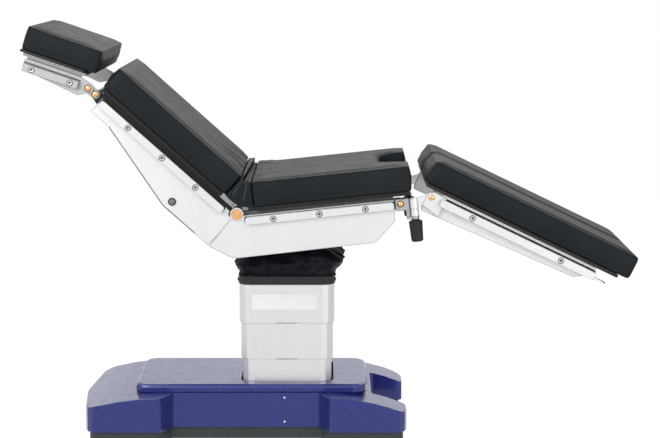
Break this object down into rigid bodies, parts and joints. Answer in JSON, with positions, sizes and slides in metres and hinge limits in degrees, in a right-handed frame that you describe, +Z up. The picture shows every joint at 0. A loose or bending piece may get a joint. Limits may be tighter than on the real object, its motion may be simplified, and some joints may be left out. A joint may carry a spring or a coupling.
{
  "type": "operating table",
  "caption": "Electro-hydraulic operating table: castor base, telescoping column, tilting and sliding padded top with jointed back, head and split leg sections.",
  "frame": {"origin": "centre of the table's footprint box, on the floor", "axes": "+X towards the foot end, +Y across the table, +Z up"},
  "size_m": [1.9332, 0.57, 1.3424],
  "materials": {
    "black_fabric": "coated cloth",
    "black_plastic": "matt",
    "black_vinyl": "smooth vinyl upholstery",
    "blue_lacquer": "satin metallic lacquer",
    "brass": "turned",
    "brushed_steel": "brushed",
    "cast_metal": "cast",
    "dark_steel": "matt painted steel",
    "satin_metal": "satin, bead blasted",
    "skirt_grey": "matt moulded",
    "tyre_grey": "matt"
  },
  "bodies": {
    "base": {"base_cover_head": "blue_lacquer", "base_cover_foot": "blue_lacquer", "access_panel": "blue_lacquer", "base_skirt": "skirt_grey", "chassis_frame": "dark_steel", "power_pack": "cast_metal", "lift_cylinder": "dark_steel"},
    "lower_stage": {"column_lower_shell": "satin_metal", "lift_stage": "brushed_steel"},
    "middle_stage": {"column_middle_shell": "satin_metal"},
    "column_top": {"column_upper_shell": "satin_metal", "boot_clamp_band": "black_plastic", "column_boot": "black_fabric", "column_head": "cast_metal", "lift_ram": "brushed_steel"},
    "tilt_cross": {"tilt_cross": "cast_metal"},
    "carriage": {"slide_carriage": "dark_steel"},
    "seat": {"seat_frame": "dark_steel", "seat_board": "black_plastic", "seat_pad": "black_vinyl", "back_pivot_shaft": "brass", "seat_side_panel_near": "satin_metal", "seat_rail_near": "brushed_steel", "leg_bracket_near": "satin_metal", "seat_side_panel_far": "satin_metal", "seat_rail_far": "brushed_steel", "leg_bracket_far": "satin_metal"},
    "back": {"back_frame": "dark_steel", "back_pad": "black_vinyl", "back_side_panel_near": "satin_metal", "back_rail_near": "brushed_steel", "back_side_panel_far": "satin_metal", "back_rail_far": "brushed_steel"},
    "head_link": {"head_link": "satin_metal"},
    "head": {"head_frame": "satin_metal", "head_pad": "black_vinyl"},
    "leg_mount_near": {"leg_knuckle_near": "satin_metal"},
    "leg_near": {"leg_frame_near": "satin_metal", "leg_rail_near": "brushed_steel", "leg_pad_near": "black_vinyl"},
    "leg_knob_near": {"leg_knob_near": "black_plastic"},
    "leg_lever_near": {"leg_lever_near": "brushed_steel"},
    "leg_mount_far": {"leg_knuckle_far": "satin_metal"},
    "leg_far": {"leg_frame_far": "satin_metal", "leg_rail_far": "brushed_steel", "leg_pad_far": "black_vinyl"},
    "leg_knob_far": {"leg_knob_far": "black_plastic"},
    "leg_lever_far": {"leg_lever_far": "brushed_steel"},
    "castor_head_near": {"castor_fork_head_near": "brushed_steel"},
    "wheel_head_near": {"castor_wheel_head_near": "tyre_grey"},
    "lock_head_near": {"floor_lock_head_near": "dark_steel"},
    "castor_head_far": {"castor_fork_head_far": "brushed_steel"},
    "wheel_head_far": {"castor_wheel_head_far": "tyre_grey"},
    "lock_head_far": {"floor_lock_head_far": "dark_steel"},
    "castor_foot_near": {"castor_fork_foot_near": "brushed_steel"},
    "wheel_foot_near": {"castor_wheel_foot_near": "tyre_grey"},
    "lock_foot_near": {"floor_lock_foot_near": "dark_steel"},
    "castor_foot_far": {"castor_fork_foot_far": "brushed_steel"},
    "wheel_foot_far": {"castor_wheel_foot_far": "tyre_grey"},
    "lock_foot_far": {"floor_lock_foot_far": "dark_steel"}
  },
  "joints": [
    {"name": "lift", "type": "slide", "parent": "base", "child": "column_top", "axis": [0, 0, 1], "range_m": [-0.19, 0.2]},
    {"name": "lower_stage_lift", "type": "slide", "parent": "base", "child": "lower_stage", "axis": [0, 0, 1], "range_m": [-0.0732, 0.077]},
    {"name": "middle_stage_lift", "type": "slide", "parent": "base", "child": "middle_stage", "axis": [0, 0, 1], "range_m": [-0.1492, 0.157]},
    {"name": "head_foot_tilt", "type": "hinge", "parent": "column_top", "child": "tilt_cross", "pos_m": [-0.15, 0, 0.62], "axis": [0, 1, 0], "range_deg": [-24, 36], "deforming": ["column_boot"]},
    {"name": "side_tilt", "type": "hinge", "parent": "tilt_cross", "child": "carriage", "pos_m": [-0.15, 0, 0.62], "axis": [0.9945, 0, 0.1045], "range_deg": [-20, 20]},
    {"name": "top_slide", "type": "slide", "parent": "carriage", "child": "seat", "axis": [0.9945, 0, 0.1045], "range_m": [-0.2, 0]},
    {"name": "back_hinge", "type": "hinge", "parent": "seat", "child": "back", "pos_m": [-0.3025, 0, 0.7592], "axis": [0, -1, 0], "range_deg": [-32, 80]},
    {"name": "head_link_hinge", "type": "hinge", "parent": "back", "child": "head_link", "pos_m": [-0.73999, 0, 1.13563], "axis": [0, -1, 0], "range_deg": [-25, 25]},
    {"name": "head_hinge", "type": "hinge", "parent": "head_link", "child": "head", "pos_m": [-0.76154, 0, 1.15503], "axis": [0, 1, 0], "range_deg": [-60, 28]},
    {"name": "leg_spread_near", "type": "hinge", "parent": "seat", "child": "leg_mount_near", "pos_m": [0.25464, -0.262, 0.77754], "axis": [0.1045, 0, -0.9945], "range_deg": [0, 90]},
    {"name": "leg_hinge_near", "type": "hinge", "parent": "leg_mount_near", "child": "leg_near", "pos_m": [0.30829, -0.262, 0.81234], "axis": [0, -1, 0], "range_deg": [-50, 34]},
    {"name": "leg_knob_turn_near", "type": "hinge", "parent": "seat", "child": "leg_knob_near", "pos_m": [0.26091, -0.262, 0.71787], "axis": [0.1045, 0, -0.9945], "continuous": true},
    {"name": "leg_lever_pull_near", "type": "hinge", "parent": "leg_near", "child": "leg_lever_near", "pos_m": [0.80004, -0.222, 0.56128], "axis": [0, -1, 0], "range_deg": [0, 10], "stiffness_Nm_per_rad": 2, "springref_deg": -5.73},
    {"name": "leg_spread_far", "type": "hinge", "parent": "seat", "child": "leg_mount_far", "pos_m": [0.25464, 0.262, 0.77754], "axis": [-0.1045, 0, 0.9945], "range_deg": [0, 90]},
    {"name": "leg_hinge_far", "type": "hinge", "parent": "leg_mount_far", "child": "leg_far", "pos_m": [0.30829, 0.262, 0.81234], "axis": [0, -1, 0], "range_deg": [-50, 34]},
    {"name": "leg_knob_turn_far", "type": "hinge", "parent": "seat", "child": "leg_knob_far", "pos_m": [0.26091, 0.262, 0.71787], "axis": [0.1045, 0, -0.9945], "continuous": true},
    {"name": "leg_lever_pull_far", "type": "hinge", "parent": "leg_far", "child": "leg_lever_far", "pos_m": [0.80004, 0.222, 0.56128], "axis": [0, -1, 0], "range_deg": [0, 10], "stiffness_Nm_per_rad": 2, "springref_deg": -5.73},
    {"name": "castor_swivel_head_near", "type": "hinge", "parent": "base", "child": "castor_head_near", "pos_m": [-0.69, -0.19, 0.07], "axis": [0, 0, 1], "continuous": true},
    {"name": "wheel_spin_head_near", "type": "hinge", "parent": "castor_head_near", "child": "wheel_head_near", "pos_m": [-0.701, -0.19, 0.0315], "axis": [0, 1, 0], "continuous": true},
    {"name": "floor_lock_head_near", "type": "slide", "parent": "base", "child": "lock_head_near", "axis": [0, 0, 1], "range_m": [0, 0.008]},
    {"name": "castor_swivel_head_far", "type": "hinge", "parent": "base", "child": "castor_head_far", "pos_m": [-0.69, 0.19, 0.07], "axis": [0, 0, 1], "continuous": true},
    {"name": "wheel_spin_head_far", "type": "hinge", "parent": "castor_head_far", "child": "wheel_head_far", "pos_m": [-0.701, 0.19, 0.0315], "axis": [0, 1, 0], "continuous": true},
    {"name": "floor_lock_head_far", "type": "slide", "parent": "base", "child": "lock_head_far", "axis": [0, 0, 1], "range_m": [0, 0.008]},
    {"name": "castor_swivel_foot_near", "type": "hinge", "parent": "base", "child": "castor_foot_near", "pos_m": [0.145, -0.2, 0.07], "axis": [0, 0, 1], "continuous": true},
    {"name": "wheel_spin_foot_near", "type": "hinge", "parent": "castor_foot_near", "child": "wheel_foot_near", "pos_m": [0.134, -0.2, 0.0315], "axis": [0, 1, 0], "continuous": true},
    {"name": "floor_lock_foot_near", "type": "slide", "parent": "base", "child": "lock_foot_near", "axis": [0, 0, 1], "range_m": [0, 0.008]},
    {"name": "castor_swivel_foot_far", "type": "hinge", "parent": "base", "child": "castor_foot_far", "pos_m": [0.145, 0.2, 0.07], "axis": [0, 0, 1], "continuous": true},
    {"name": "wheel_spin_foot_far", "type": "hinge", "parent": "castor_foot_far", "child": "wheel_foot_far", "pos_m": [0.134, 0.2, 0.0315], "axis": [0, 1, 0], "continuous": true},
    {"name": "floor_lock_foot_far", "type": "slide", "parent": "base", "child": "lock_foot_far", "axis": [0, 0, 1], "range_m": [0, 0.008]}
  ],
  "couplings": [
    {"joint": "lower_stage_lift", "follows": "lift", "ratio": 0.38},
    {"joint": "middle_stage_lift", "follows": "lift", "ratio": 0.78},
    {"joint": "floor_lock_head_far", "follows": "floor_lock_head_near", "ratio": 1},
    {"joint": "floor_lock_foot_near", "follows": "floor_lock_head_near", "ratio": 1},
    {"joint": "floor_lock_foot_far", "follows": "floor_lock_head_near", "ratio": 1}
  ]
}
